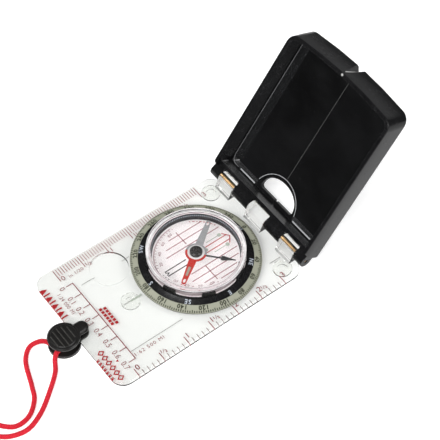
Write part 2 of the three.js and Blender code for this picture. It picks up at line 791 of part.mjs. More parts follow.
const needle = addGroup(capsule, NEEDLE_ANGLE);
add(needle, "needle_blade", needleBlade(), RED);
add(needle, "needle_hub_disc", needleHubDisc(), CLEAR);
add(needle, "needle_hub_cap", needleHubCap(), BLACK);
add(needle, "jewel_bearing", jewelBearing(), SAPPHIRE);

const lid = addGroup(root);
lid.position.set(0, HINGE_Y, HINGE_Z);
lid.rotation.x = radians(LID_ANGLE);
add(lid, "lid_shell", lidShell(), BLACK);
add(lid, "mirror", mirrorPlate(), MIRROR);

add(root, "clip_lower_lever", clipLowerLever(), SATIN);
add(root, "clip_upper_lever", clipUpperLever(), SATIN);
add(root, "clip_pivot_pin", clipBar(0.62, -3.1, 3.1, 16), STEEL);
add(root, "clip_spring", clipSpring(), STEEL);
add(root, "lanyard_cord", lanyardCord(), CORD);

export default root;
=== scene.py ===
"""A mirror sighting compass on a clear ruler plate.

The plate lies flat with +Z up and the dial is centred on the origin. The lid is hinged at the
+Y side and stands open, leaning away from the dial. The clip and the lanyard are at the -Y end.
Shapes are given in millimetres; shader positions, lights and camera are in metres.
"""

import functools
import math

import bmesh
import bpy
from mathutils import Matrix, Vector

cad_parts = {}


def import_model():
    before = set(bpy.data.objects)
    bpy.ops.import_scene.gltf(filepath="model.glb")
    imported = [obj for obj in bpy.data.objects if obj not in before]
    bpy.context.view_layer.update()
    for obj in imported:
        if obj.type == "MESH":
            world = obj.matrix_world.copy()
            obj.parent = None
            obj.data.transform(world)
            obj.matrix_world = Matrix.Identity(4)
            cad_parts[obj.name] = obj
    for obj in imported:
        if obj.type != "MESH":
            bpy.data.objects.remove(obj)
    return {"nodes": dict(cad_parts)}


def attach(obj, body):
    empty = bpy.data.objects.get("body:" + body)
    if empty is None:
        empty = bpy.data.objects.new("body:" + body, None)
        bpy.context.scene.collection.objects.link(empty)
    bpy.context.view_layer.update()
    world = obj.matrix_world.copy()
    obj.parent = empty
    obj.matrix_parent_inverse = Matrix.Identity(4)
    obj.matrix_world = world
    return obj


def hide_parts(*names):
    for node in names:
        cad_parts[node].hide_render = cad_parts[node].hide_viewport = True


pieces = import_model()["nodes"]
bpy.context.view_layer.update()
scene = bpy.context.scene

MM = 0.001

# Dimensions in mm that materials and prints share
NEEDLE_ANGLE = -55.4  # degrees from +X
CONE_FOOT = (4.65, 19.2)  # inside wall of the graduated ring: (height, radius)
CONE_TOP = (8.2, 19.75)
HINGE_Y, HINGE_Z = 35.2, 6.7
LID_ANGLE = 54.1  # degrees above the plate

# ---------------------------------------------------------------- shader helpers


class Shader:
    """The node tree of a material or world."""

    def __init__(self, owner, output="ShaderNodeOutputMaterial"):
        self.owner = owner
        owner.use_nodes = True
        self.tree = owner.node_tree
        self.tree.nodes.clear()
        self.output = self.node(output)
        self._coord = None

    def put(self, node, key, value):
        """Link or set one input; None leaves it as it is."""
        if value is None:
            return
        socket = node.inputs[key]
        if isinstance(value, bpy.types.NodeSocket):
            self.tree.links.new(value, socket)
        elif socket.type == "RGBA":
            socket.default_value = (*value[:3], 1.0)
        else:
            socket.default_value = value

    def node(self, kind, *values, props=None, **inputs):
        """A new node: values fill its inputs in order, inputs fill them by name."""
        node = self.tree.nodes.new(kind)
        for key, value in (props or {}).items():
            setattr(node, key, value)
        for i, value in enumerate(values):
            self.put(node, i, value)
        for key, value in inputs.items():
            self.put(node, key.replace("_", " "), value)
        return node

    def add(self, kind, *values, **options):
        """A new node's first output."""
        return self.node(kind, *values, **options).outputs[0]

    def coord(self):
        """The piece's own rest position in metres."""
        if self._coord is None:
            self._coord = self.node("ShaderNodeTexCoord").outputs["Object"]
        return self._coord

    def coord_xyz(self):
        return self.node("ShaderNodeSeparateXYZ", Vector=self.coord()).outputs

    def noise(self, scale, detail=3.0, rough=0.5, stretch=None):
        """Noise with features per metre set by scale."""
        place = self.coord()
        if stretch:
            place = self.add("ShaderNodeMapping", Vector=place, Scale=stretch)
        return self.add("ShaderNodeTexNoise", Vector=place, Scale=scale, Detail=detail,
                        Roughness=rough)

    def remap(self, value, to=(0.0, 1.0), over=(0.3, 0.7)):
        """value, as it runs across over, becomes to. The default over suits noise."""
        return self.add("ShaderNodeMapRange", Value=value, From_Min=over[0], From_Max=over[1],
                        To_Min=to[0], To_Max=to[1])

    def mix(self, factor, first, second):
        node = self.node("ShaderNodeMix", factor, props={"data_type": "RGBA"})
        self.put(node, 6, first)
        self.put(node, 7, second)
        return node.outputs[2]

    def mix_shader(self, factor, first, second):
        return self.add("ShaderNodeMixShader", factor, first, second)

    def math(self, operation, a, b=0.0, clamp=False):
        props = {"operation": operation, "use_clamp": clamp}
        return self.add("ShaderNodeMath", a, b, props=props)

    def vector_math(self, operation, a, b=None):
        return self.node("ShaderNodeVectorMath", a, b, props={"operation": operation}).outputs

    def axis_distance(self, xyz):
        """Distance from the Z axis."""
        x_squared = self.math("MULTIPLY", xyz["X"], xyz["X"])
        y_squared = self.math("MULTIPLY", xyz["Y"], xyz["Y"])
        return self.math("SQRT", self.math("ADD", x_squared, y_squared))

    def bump(self, height, strength, distance, normal=None):
        return self.add("ShaderNodeBump", Height=height, Strength=strength, Distance=distance,
                        Normal=normal)

    def done(self, surface):
        self.put(self.output, "Surface", surface)
        return self.owner


def new_material(name):
    return Shader(bpy.data.materials.new(name))


def srgb(r, g, b):
    def linear(c):
        c /= 255.0
        return c / 12.92 if c <= 0.04045 else ((c + 0.055) / 1.055) ** 2.4

    return (linear(r), linear(g), linear(b))


STUDIO_GAIN = 1.3  # how much the lighting brightens paint


def lit(r, g, b):
    """Colour of paint that reads as this sRGB value under the studio light."""
    return tuple(c / STUDIO_GAIN for c in srgb(r, g, b))


def scaled(color, factor):
    return tuple(min(c * factor, 1) for c in color)


def edge_mask(mat, radius):
    """1 on sharp edges and 0 on flats, with the rounded normal."""
    rounded = mat.add("ShaderNodeBevel", props={"samples": 3}, Radius=radius)
    normal = mat.node("ShaderNodeNewGeometry").outputs["Normal"]
    match = mat.vector_math("DOT_PRODUCT", rounded, normal)["Value"]
    return mat.remap(match, to=(1.0, 0.0), over=(0.82, 0.995)), rounded


def face_highlight_mask(mat, face_highlight):
    """Mask of a painted highlight: 1 on faces that look along facing, rising from near to far in
    the direction along.
    """
    coords = mat.node("ShaderNodeTexCoord").outputs
    look = mat.vector_math("DOT_PRODUCT", coords["Normal"], face_highlight["facing"])["Value"]
    offset = mat.vector_math("SUBTRACT", coords["Object"], face_highlight["start"])["Vector"]
    depth = mat.vector_math("DOT_PRODUCT", offset, face_highlight["along"])["Value"]
    return mat.math("MULTIPLY", mat.remap(look, over=(0.82, 0.97)),
                    mat.remap(depth, over=(face_highlight["near"], face_highlight["far"])))


# ---------------------------------------------------------------- kinds of material


def plastic(name, color, rough, variation=0.2, grain=0.004, grain_scale=3000.0,
            rough_spread=0.08, metallic=0.0, specular=0.5, coat=0.0, mottle=180.0,
            edge_highlight_color=None, edge_highlight_radius=0.0, face_highlight=None):
    """Moulded plastic, metal or paint with colour mottle, patchy roughness and fine grain.

    variation is the colour mottle either way, grain the relief in mm, mottle and grain_scale
    noise scales per metre. The edge colour is a painted highlight that pales edges tighter than
    the edge radius in mm; the face highlight argument paints a highlight on faces that look one
    way.
    """
    mat = new_material(name)
    coarse = mat.noise(mottle, detail=4.0, rough=0.6)
    fine = mat.noise(grain_scale, detail=2.0, rough=0.55)
    scratch = mat.noise(900.0, detail=2.0, stretch=(1.0, 9.0, 1.0))
    tint = mat.mix(mat.remap(coarse), scaled(color, 1 - variation), scaled(color, 1 + variation))
    normal = None
    # Painted highlight on the edges, broken up into patches
    if edge_highlight_color:
        mask, normal = edge_mask(mat, edge_highlight_radius * MM)
        edge_highlight_amount = mat.math("MULTIPLY", mask, mat.remap(coarse, to=(0.35, 1.0), over=(0.35, 0.65)))
        tint = mat.mix(edge_highlight_amount, tint, edge_highlight_color)
    # Painted highlight on faces that look one way, standing in for a reflection of the key light
    if face_highlight:
        tint = mat.mix(face_highlight_mask(mat, face_highlight), tint, face_highlight["color"])
    patches = mat.remap(coarse, to=(rough - rough_spread, rough + rough_spread))
    roughness = mat.math("ADD", patches, mat.remap(scratch, to=(-0.03, 0.05)))
    relief = mat.math("ADD", fine, mat.math("MULTIPLY", scratch, 0.25))
    return mat.done(mat.add(
        "ShaderNodeBsdfPrincipled", Base_Color=tint, Metallic=metallic, IOR=1.5,
        Roughness=roughness, Normal=mat.bump(relief, 0.35, grain * MM, normal),
        Specular_IOR_Level=specular, Coat_Weight=coat, Coat_Roughness=0.08))


def ink(name, color, rough=0.6, variation=0.15, specular=0.2, mottle=900.0):
    return plastic(name, color, rough, variation=variation, grain_scale=2500.0,
                   specular=specular, mottle=mottle)


def clear(name, color, ior, wave, wall, rough=0.0, haze=0.0, block=None):
    """Clear plastic that refracts for the eye and lets light through for shadows.

    wave is the moulding ripple in mm and wall tints upright faces, a painted shade for their darker
    look. block adds near and far body colours outside the clear centre, running lighter towards +Y
    as painted light, and an edge colour on walls beyond edge_y, a painted warm glow.
    """
    mat = new_material(name)
    ripple = mat.noise(120.0, detail=2.0)
    dust = mat.noise(2600.0, rough=0.6)
    relief = mat.math("ADD", ripple, mat.math("MULTIPLY", dust, 0.02))
    normal = mat.bump(relief, 0.25, wave * MM)
    tint = mat.mix(mat.remap(ripple), scaled(color, 0.992), color)
    if block:
        xyz = mat.coord_xyz()
        outside = mat.remap(mat.axis_distance(xyz), over=(25.0 * MM, 25.5 * MM))
        # Painted light: the body colour runs lighter towards +Y, against the shade beneath the lid
        lengthwise = mat.remap(xyz["Y"], over=(-62.0 * MM, 30.0 * MM))
        tint = mat.mix(outside, tint, mat.mix(lengthwise, block["near"], block["far"]))
        # Painted warm glow on the walls at the -Y edge
        edge_y = block["edge_y"]
        edge = mat.remap(xyz["Y"], to=(1.0, 0.0), over=((edge_y - 1.5) * MM, (edge_y + 1.5) * MM))
        wall = mat.mix(edge, wall, block["edge"])
    true_normal = mat.node("ShaderNodeNewGeometry").outputs["True Normal"]
    facing = mat.node("ShaderNodeSeparateXYZ", Vector=true_normal).outputs
    # Painted shade: upright faces take the darker wall colour
    upright = mat.remap(mat.math("ABSOLUTE", facing["Z"]), to=(1.0, 0.0), over=(0.15, 0.6))
    roughness = mat.remap(dust, to=(rough, rough + 0.02), over=(0.45, 0.75))
    surface = mat.add("ShaderNodeBsdfGlass", IOR=ior, Color=mat.mix(upright, tint, wall),
                      Normal=normal, Roughness=roughness)
    if haze:
        milk = mat.add("ShaderNodeBsdfDiffuse", Color=(0.86, 0.87, 0.85))
        surface = mat.mix_shader(mat.remap(dust, to=(haze * 0.7, haze * 1.3)), surface, milk)
    passing = mat.add("ShaderNodeBsdfTransparent", Color=color)
    rays = mat.node("ShaderNodeLightPath").outputs
    soft_ray = mat.math("MAXIMUM", rays["Is Shadow Ray"], rays["Is Diffuse Ray"])
    return mat.done(mat.mix_shader(soft_ray, surface, passing))


def thin(name, color, cover, gloss):
    """Thin clear sheet: cover is the share of body colour, gloss the strength of the shine."""
    mat = new_material(name)
    dust = mat.noise(1500.0, rough=0.6)
    # The faint pink in the light let through is painted light, a pink cast from the declination
    # band
    passing = mat.add("ShaderNodeBsdfTransparent", Color=(1.0, 0.988, 0.990))
    body = mat.add("ShaderNodeBsdfDiffuse", Color=color)
    sheet = mat.mix_shader(mat.remap(dust, to=(cover * 0.85, cover * 1.15)), passing, body)
    shine = mat.add("ShaderNodeBsdfGlossy", Color=(0.9, 0.9, 0.9),
                    Roughness=mat.remap(dust, to=(0.05, 0.14)))
    fresnel = mat.add("ShaderNodeFresnel", IOR=1.45)
    shadow_ray = mat.node("ShaderNodeLightPath").outputs["Is Shadow Ray"]
    not_shadow = mat.math("SUBTRACT", 1.0, shadow_ray)
    factor = mat.math("MULTIPLY", mat.math("MULTIPLY", fresnel, gloss), not_shadow)
    return mat.done(mat.mix_shader(factor, sheet, shine))


def ring_material():
    """Graduated ring: black inside wall, pale pinkish moulding outside and on top."""
    slope = 0.155  # radius gained per height on the inside wall
    foot_z, foot_radius = CONE_FOOT
    mat = new_material("inner_scale_ring_paint")
    xyz = mat.coord_xyz()
    radius = mat.axis_distance(xyz)
    wall = mat.math("ADD", mat.math("MULTIPLY", xyz["Z"], slope),
                    (foot_radius - foot_z * slope + 0.10) * MM)
    outside = mat.remap(mat.math("SUBTRACT", radius, wall), over=(0.0, 0.05 * MM))
    coarse = mat.noise(420.0, rough=0.6)
    fine = mat.noise(4200.0, detail=2.0)
    pale = mat.mix(mat.remap(coarse), lit(236, 220, 222), lit(250, 238, 240))
    dark = mat.mix(mat.remap(coarse), (0.006, 0.006, 0.007), (0.010, 0.010, 0.011))
    return mat.done(mat.add(
        "ShaderNodeBsdfPrincipled", Base_Color=mat.mix(outside, dark, pale),
        Specular_IOR_Level=0.2, Roughness=mat.remap(coarse, to=(0.38, 0.5)),
        Normal=mat.bump(fine, 0.3, 0.006 * MM)))


def mirror_material():
    """Silvered glass with a faint film of finger haze and dust."""
    mat = new_material("mirror_glass")
    smear = mat.noise(55.0, detail=5.0, rough=0.65, stretch=(1.0, 2.2, 1.0))
    dust = mat.noise(5200.0, detail=2.0)
    silver = mat.add("ShaderNodeBsdfGlossy", Color=(0.90, 0.91, 0.92),
                     Roughness=mat.remap(smear, to=(0.008, 0.05), over=(0.35, 0.7)),
                     Normal=mat.bump(smear, 0.1, 0.004 * MM))
    haze = mat.add("ShaderNodeBsdfDiffuse", Color=(0.20, 0.205, 0.215))
    film = mat.math("ADD", mat.remap(smear, to=(0.002, 0.022), over=(0.4, 0.75)),
                    mat.remap(dust, to=(0.0, 0.02), over=(0.66, 0.80)))
    return mat.done(mat.mix_shader(film, silver, haze))


def needle_material():
    """Needle blade: red north half and grey south half, split across the hub."""
    mat = new_material("needle_paint")
    xyz = mat.coord_xyz()
    angle = math.radians(NEEDLE_ANGLE)
    along = mat.math("ADD", mat.math("MULTIPLY", xyz["X"], math.cos(angle)),
                     mat.math("MULTIPLY", xyz["Y"], math.sin(angle)))
    north = mat.remap(along, over=(-0.00005, 0.00005))
    coarse = mat.noise(500.0, rough=0.6)
    fine = mat.noise(4500.0, detail=2.0)
    red = mat.mix(mat.remap(coarse), lit(176, 34, 26), lit(200, 48, 34))
    grey = mat.mix(mat.remap(coarse), lit(146, 147, 148), lit(160, 161, 162))
    return mat.done(mat.add(
        "ShaderNodeBsdfPrincipled", Base_Color=mat.mix(north, grey, red),
        Roughness=mat.remap(coarse, to=(0.38, 0.55)), Normal=mat.bump(fine, 0.3, 0.006 * MM)))


def cord_material():
    """Red braided nylon: tone varies by yarn, with painted shade dark in the crossings and a
    painted highlight pale on the crowns.
    """
    mat = new_material("braided_cord")
    yarn = mat.noise(1500.0, rough=0.6)
    patch = mat.noise(90.0, rough=0.6)
    fuzz = mat.noise(9000.0, detail=2.0, rough=0.6)
    tint = mat.mix(mat.remap(yarn, over=(0.32, 0.68)), lit(222, 22, 44), lit(252, 48, 66))
    tint = mat.mix(mat.remap(patch, to=(0.0, 0.22), over=(0.45, 0.75)), tint, lit(188, 10, 32))
    weave = mat.node("ShaderNodeAttribute", props={"attribute_name": "weave"}).outputs["Fac"]
    # Painted shade where the strands dip into the crossings, and a painted highlight on their
    # crowns
    tint = mat.mix(mat.remap(weave, to=(1.0, 0.0), over=(0.45, 0.85)), tint, lit(158, 8, 28))
    tint = mat.mix(mat.remap(weave, to=(0.0, 0.55), over=(0.85, 1.0)), tint, lit(255, 92, 106))
    relief = mat.math("ADD", mat.math("MULTIPLY", yarn, 0.6), fuzz)
    return mat.done(mat.add(
        "ShaderNodeBsdfPrincipled", Roughness=0.78, Base_Color=tint, Sheen_Weight=0.08,
        Specular_IOR_Level=0.2, Sheen_Roughness=0.5, Normal=mat.bump(relief, 0.6, 0.03 * MM)))


# ---------------------------------------------------------------- materials

# Body colours along the plate, lighter towards +Y as painted light against the shade beneath the
# lid, and a painted warm glow on its -Y edge
PLATE_BLOCK = dict(near=(0.806, 0.812, 0.800), far=(0.896, 0.900, 0.892),
                   edge=(0.95, 0.72, 0.68), edge_y=-63.8)
# Painted highlight: paler colour on the lid faces that look across it, standing in for the key
# light's reflection
LID_FACE_HIGHLIGHT = dict(color=(0.034, 0.034, 0.0345), facing=(0.0, 0.588, 0.809),
                 start=(0.0, HINGE_Y * MM, HINGE_Z * MM), along=(0.0, -0.809, 0.588),
                 near=-5.5 * MM, far=2.0 * MM)

acrylic = clear("clear_acrylic", (0.99, 0.992, 0.988), ior=1.38, wave=0.008, haze=0.004,
                wall=(0.85, 0.845, 0.84), block=PLATE_BLOCK)
capsule_clear = clear("capsule_clear", (1.0, 0.998, 0.999), ior=1.22, wave=0.002,
                      wall=(0.90, 0.885, 0.89))
silicone = clear("clear_silicone", (0.985, 0.988, 0.982), ior=1.30, rough=0.02, wave=0.01,
                 haze=0.02, wall=(0.85, 0.85, 0.85))
# Its pale pink is painted light: a pink cast of light from the declination band
disc_clear = thin("orienting_disc_clear", (0.95, 0.90, 0.91), cover=0.02, gloss=0.12)
hub_clear = thin("hub_clear", (0.85, 0.85, 0.85), cover=0.25, gloss=0.5)

lid_black = plastic("lid_gloss_black", (0.006, 0.006, 0.0065), rough=0.22, grain_scale=3500.0,
                    rough_spread=0.06, specular=0.22, edge_highlight_color=(0.035, 0.035, 0.036),
                    edge_highlight_radius=0.22, face_highlight=LID_FACE_HIGHLIGHT)
dial_black = plastic("dial_black", (0.005, 0.005, 0.0055), rough=0.24, grain_scale=3500.0,
                     rough_spread=0.06, specular=0.4, edge_highlight_color=(0.02, 0.021, 0.021),
                     edge_highlight_radius=0.15)
clip_black = plastic("clip_satin_black", (0.009, 0.0085, 0.008), rough=0.34, grain=0.012,
                     grain_scale=2600.0, rough_spread=0.07, specular=0.3,
                     edge_highlight_color=(0.05, 0.05, 0.05), edge_highlight_radius=0.25)
pointer_black = plastic("pointer_black", (0.008, 0.008, 0.008), rough=0.35, grain=0.006,
                        grain_scale=5000.0)
cap_black = plastic("hub_cap_black", (0.014, 0.0135, 0.012), rough=0.28, variation=0.45,
                    grain=0.01, specular=0.35)
scale_pale = plastic("pale_scale", lit(168, 170, 152), rough=0.62, variation=0.05, grain=0.012,
                     grain_scale=3200.0, specular=0.3)
ring_paint = ring_material()
# The seal's pale grey is partly its own colour and partly a painted reflection: the bright band
# round the capsule rim that its clear wall reflects
seal_grey_and_rim_reflection = plastic("seal_grey_and_painted_rim_reflection", (0.66, 0.65, 0.65), rough=0.5, grain=0.02,
                 grain_scale=2500.0)
brass = plastic("brass", (0.62, 0.38, 0.17), rough=0.30, variation=0.15, grain=0.01, metallic=1.0)
steel = plastic("steel", (0.62, 0.62, 0.63), rough=0.30, variation=0.10, grain=0.01, metallic=1.0)
jewel = plastic("jewel", (0.45, 0.02, 0.08), rough=0.10, coat=1.0)

INK_BROWN = ink("ink_red_brown", lit(150, 70, 74), variation=0.22)
INK_RED = ink("ink_red", lit(186, 30, 38), rough=0.55, specular=0.25, mottle=700.0)
INK_DARK = ink("ink_dark", srgb(42, 45, 30), rough=0.55, variation=0.25)
INK_BLACK = ink("ink_black", srgb(34, 32, 32), rough=0.55, variation=0.25)
INK_WHITE = ink("ink_white", lit(196, 204, 214), rough=0.5, variation=0.10, specular=0.3)
INK_GREY = ink("ink_grey", lit(150, 150, 146), variation=0.12, mottle=600.0)
INK_PINK = ink("ink_pink", lit(226, 200, 203), variation=0.06, mottle=600.0)
INK_GREEN = ink("ink_luminous", lit(190, 200, 186), variation=0.08, mottle=600.0)
INK_MERIDIAN = ink("ink_meridian", lit(164, 98, 106))
INK_TICK = ink("ink_tick_grey", lit(96, 96, 100), variation=0.2)

mirror_glass = mirror_material()
needle_paint = needle_material()
# Painted highlight for the bright edge of the mirror glass
mirror_edge_highlight_paint = plastic("mirror_edge", (0.42, 0.43, 0.44), rough=0.22, variation=0.1, coat=0.5)
edge_grey = plastic("mirror_edge_grey", (0.16, 0.16, 0.165), rough=0.3, variation=0.15)
sight_grey = plastic("sight_line", (0.05, 0.05, 0.048), rough=0.5, variation=0.15)

# ---------------------------------------------------------------- finish of the CAD pieces

MATERIAL_OF = {
    "baseplate": acrylic, "foot_left": silicone, "foot_right": silicone, "foot_front": silicone,
    "bezel_snap_ring": steel, "hinge_pin_left": brass, "hinge_pin_right": brass,
    "bezel_ring": dial_black, "luminous_scale_ring": scale_pale,
    "capsule_cup": capsule_clear, "capsule_seal": seal_grey_and_rim_reflection, "capsule_window": capsule_clear,
    "inner_scale_ring": ring_paint, "pivot_pin": steel, "orienting_disc": disc_clear,
    "declination_screw": steel, "tilt_pointer": pointer_black, "tilt_pointer_bush": brass,
    "needle_blade": needle_paint, "needle_hub_disc": hub_clear, "needle_hub_cap": cap_black,
    "jewel_bearing": jewel, "lid_shell": lid_black, "mirror": mirror_glass,
    "clip_lower_lever": clip_black, "clip_upper_lever": clip_black, "clip_pivot_pin": steel,
    "clip_spring": steel,
}
BEVELLED = ("lid_shell", "clip_upper_lever", "clip_lower_lever")


def weld_smooth_group(crease_angle):
    """Geometry nodes that weld the mesh and shade it smooth, except at creases."""
    group = bpy.data.node_groups.new("weld_smooth", "GeometryNodeTree")
    for direction in ("INPUT", "OUTPUT"):
        group.interface.new_socket("Geometry", in_out=direction, socket_type="NodeSocketGeometry")
    new, link = group.nodes.new, group.links.new
    source, result = new("NodeGroupInput"), new("NodeGroupOutput")
    merge = new("GeometryNodeMergeByDistance")
    merge.inputs["Distance"].default_value = 1e-6
    smooth = new("GeometryNodeSetShadeSmooth")
    edge_angle = new("GeometryNodeInputMeshEdgeAngle")
    is_crease = new("FunctionNodeCompare")
    is_crease.data_type = "FLOAT"
    is_crease.operation = "GREATER_THAN"
    is_crease.inputs[1].default_value = math.radians(crease_angle)
    sharp = new("GeometryNodeSetShadeSmooth")
    sharp.domain = "EDGE"
    sharp.inputs["Shade Smooth"].default_value = False
    link(source.outputs[0], merge.inputs["Geometry"])
    link(merge.outputs["Geometry"], smooth.inputs["Geometry"])
    link(edge_angle.outputs[0], is_crease.inputs[0])
    link(smooth.outputs["Geometry"], sharp.inputs["Geometry"])
    link(is_crease.outputs[0], sharp.inputs["Selection"])
    link(sharp.outputs["Geometry"], result.inputs[0])
    return group


def finish_pieces():
    weld = weld_smooth_group(crease_angle=30)
    for name, piece in pieces.items():
        piece.modifiers.new("weld_smooth", "NODES").node_group = weld
        if name in MATERIAL_OF:
            piece.data.materials.clear()
            piece.data.materials.append(MATERIAL_OF[name])
    for name in BEVELLED:
        bevel = pieces[name].modifiers.new("edge", "BEVEL")
        bevel.width = 0.10 * MM
        bevel.segments = 2
        bevel.limit_method = "ANGLE"
        bevel.angle_limit = math.radians(40)
        bevel.use_clamp_overlap = True
        pieces[name].modifiers.new("normals", "WEIGHTED_NORMAL").weight = 60


finish_pieces()

# ---------------------------------------------------------------- mesh helpers


def new_object(name, verts, faces, material, smooth=False):
    """An object from vertices in mm, with its normals turned outward."""
    mesh = bpy.data.meshes.new(name)
    mesh.from_pydata([tuple(c * MM for c in v) for v in verts], [], faces)
    mesh.validate()
    mesh.update()
    if smooth:
        for polygon in mesh.polygons:
            polygon.use_smooth = True
    mesh.materials.append(material)
    obj = bpy.data.objects.new(name, mesh)
    scene.collection.objects.link(obj)
    bm = bmesh.new()
    bm.from_mesh(mesh)
    bmesh.ops.recalc_face_normals(bm, faces=bm.faces)
    bm.to_mesh(mesh)
    bm.free()
    return obj


@functools.cache
def glyphs(text, bold, spacing):
    """Vertices and faces of a string, cap height 1, centred on the origin, z -1 or 1."""
    curve = bpy.data.curves.new("glyph", "FONT")
    curve.body = text
    curve.size = 1.0
    curve.resolution_u = 3
    curve.extrude = 0.5
    curve.offset = bold
    curve.space_character = spacing
    obj = bpy.data.objects.new("glyph", curve)
    scene.collection.objects.link(obj)
    depsgraph = bpy.context.evaluated_depsgraph_get()
    mesh = bpy.data.meshes.new_from_object(obj.evaluated_get(depsgraph))
    bm = bmesh.new()
    bm.from_mesh(mesh)
    bmesh.ops.remove_doubles(bm, verts=bm.verts, dist=1e-5)
    bmesh.ops.dissolve_degenerate(bm, edges=bm.edges, dist=1e-5)
    bm.verts.ensure_lookup_table()
    xs = [v.co.x for v in bm.verts]
    cap = 0.7  # cap height of the font at size 1
    middle_x, middle_y = (min(xs) + max(xs)) / 2, cap / 2
    verts = [((v.co.x - middle_x) / cap, (v.co.y - middle_y) / cap, -1 if v.co.z < 0 else 1)
             for v in bm.verts]
    faces = [tuple(v.index for v in f.verts) for f in bm.faces]
    bm.free()
    bpy.data.objects.remove(obj)
    bpy.data.meshes.remove(mesh)
    return verts, faces


def ellipse_points(centre, radii, degrees):
    """Points at these angles, anticlockwise from +X."""
    angles = [math.radians(d) for d in degrees]
    return [(centre[0] + radii[0] * math.cos(a), centre[1] + radii[1] * math.sin(a))
            for a in angles]


def slope(value, start, end):
    """The straight line through two (value, result) points."""
    return start[1] + (value - start[0]) * (end[1] - start[1]) / (end[0] - start[0])


# Placements: each turns a drawn (x, y, z) into a place on the product.


def as_drawn(x, y, z):
    return (x, y, z)


def placed(centre_x, centre_y, degrees):
    """Turned about +Z, then moved."""
    c, s = math.cos(math.radians(degrees)), math.sin(math.radians(degrees))
    return lambda x, y, z: (centre_x + c * x - s * y, centre_y + s * x + c * y, z)


def level(radius):
    return 0.0


def on_ring(degrees, radius, surface=level):
    """Tops outward on a turned surface, clockwise from +Y; surface(radius) is its height."""

    def place(x, y, z):
        r = radius + y
        angle = math.radians(degrees) + x / radius
        return (r * math.sin(angle), r * math.cos(angle), surface(r) + z)

    return place


def in_lid(x, along, out):
    """Lid coordinates: along runs up the lid from the hinge, out is square to it."""
    c, s = math.cos(math.radians(LID_ANGLE)), math.sin(math.radians(LID_ANGLE))
    return (x, HINGE_Y + c * along - s * out, HINGE_Z + s * along + c * out)


# Faces of a box whose corners vary fastest in the last of three directions
BOX_FACES = [(0, 1, 3, 2), (4, 6, 7, 5), (0, 4, 5, 1), (2, 3, 7, 6), (0, 2, 6, 4), (1, 5, 7, 3)]


class Print:
    """Thin printed solids in mm, made into one object that rides on body.

    layer is the (bottom, top) of the print. Each shape may override place and layer.
    """

    def __init__(self, name, body, material, slot, layer, place=as_drawn):
        self.name, self.body, self.material, self.slot = name, body, material, slot
        self.layer, self.place = layer, place
        self.verts, self.faces = [], []

    def add(self, verts, faces):
        base = len(self.verts)
        self.verts += verts
        self.faces += [tuple(base + i for i in f) for f in faces]

    def prism(self, outline, place=None, layer=None):
        place = place or self.place
        area = sum(a[0] * b[1] - b[0] * a[1] for a, b in zip(outline, outline[1:] + outline[:1]))
        if area < 0:
            outline = outline[::-1]
        n = len(outline)
        faces = [tuple(range(n))[::-1], tuple(range(n, 2 * n))]
        faces += [(i, (i + 1) % n, n + (i + 1) % n, n + i) for i in range(n)]
        self.add([place(x, y, z) for z in layer or self.layer for x, y in outline], faces)

    def line(self, start, end, width, place=None, layer=None):
        dx, dy = end[0] - start[0], end[1] - start[1]
        length = math.hypot(dx, dy)
        nx, ny = -dy / length * width / 2, dx / length * width / 2
        self.prism([(start[0] + nx, start[1] + ny), (end[0] + nx, end[1] + ny),
                    (end[0] - nx, end[1] - ny), (start[0] - nx, start[1] - ny)], place, layer)

    def path(self, points, width, closed=False):
        """A ribbon of constant width along points, with mitred corners."""
        n = len(points)
        rails = []
        for i in range(n):
            point = Vector(points[i])
            before = point - Vector(points[i - 1] if i or closed else points[i])
            after = Vector(points[(i + 1) % n] if i < n - 1 or closed else points[i]) - point
            if before.length < 1e-9:
                before = after
            if after.length < 1e-9:
                after = before
            before.normalize()
            after.normalize()
            tangent = (before + after).normalized()
            stretch = 1 / max(0.5, tangent.dot(before))
            offset = Vector((-tangent.y, tangent.x)) * (width / 2 * stretch)
            rails += [tuple(point + offset), tuple(point - offset)]
        verts = [self.place(x, y, z) for z in self.layer for x, y in rails]
        faces = []
        m = 2 * n
        for i in range(n if closed else n - 1):
            j = (i + 1) % n
            faces += [(2 * i, 2 * j, 2 * j + 1, 2 * i + 1),
                      (m + 2 * i, m + 2 * i + 1, m + 2 * j + 1, m + 2 * j),
                      (2 * i, m + 2 * i, m + 2 * j, 2 * j),
                      (2 * i + 1, 2 * j + 1, m + 2 * j + 1, m + 2 * i + 1)]
        if not closed:
            faces += [(0, 1, m + 1, m), (m - 2, 2 * m - 2, 2 * m - 1, m - 1)]
        self.add(verts, faces)

    def disc(self, centre, radius):
        self.prism(ellipse_points(centre, (radius, radius), [360 * i / 20 for i in range(20)]))

    def ring_tick(self, degrees, radius, width, inner, outer, surface=level):
        """A radial tick from inner to outer, both measured outward from radius."""
        half = width / 2
        self.prism([(-half, inner), (half, inner), (half, outer), (-half, outer)],
                   on_ring(degrees, radius, surface))

    def text(self, text, height, place, bold=0.0, stretch=1.0, spacing=1.0, layer=None):
        """Text centred on (0, 0) before it is placed."""
        verts, faces = glyphs(text, bold, spacing)
        bottom, top = layer or self.layer
        self.add([place(x * height * stretch, y * height, bottom if z < 0 else top)
                  for x, y, z in verts], faces)

    def build(self):
        obj = new_object(self.name, self.verts, self.faces, self.material)
        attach(obj, self.body)


# ---------------------------------------------------------------- prints on the ruler plate

SCALE_START_Y = -53.25
INCH_PITCH = 1.27  # twentieths of an inch
MILE_PITCH = 2.575  # tenths of a mile at 1:62 500
SCALE_EDGE_X = 32.85
END_SCALE_X, END_SCALE_PITCH = -22.52, 6.7056  # tenths of a mile at 1:24 000
SCALE_LABELS = ("0", "h", "1", "1h", "2", "2h", "3")  # h stands for a half


def plate_print(name, material):
    return Print(name, "plate", material, "clear_acrylic", layer=(0.12, 0.15))


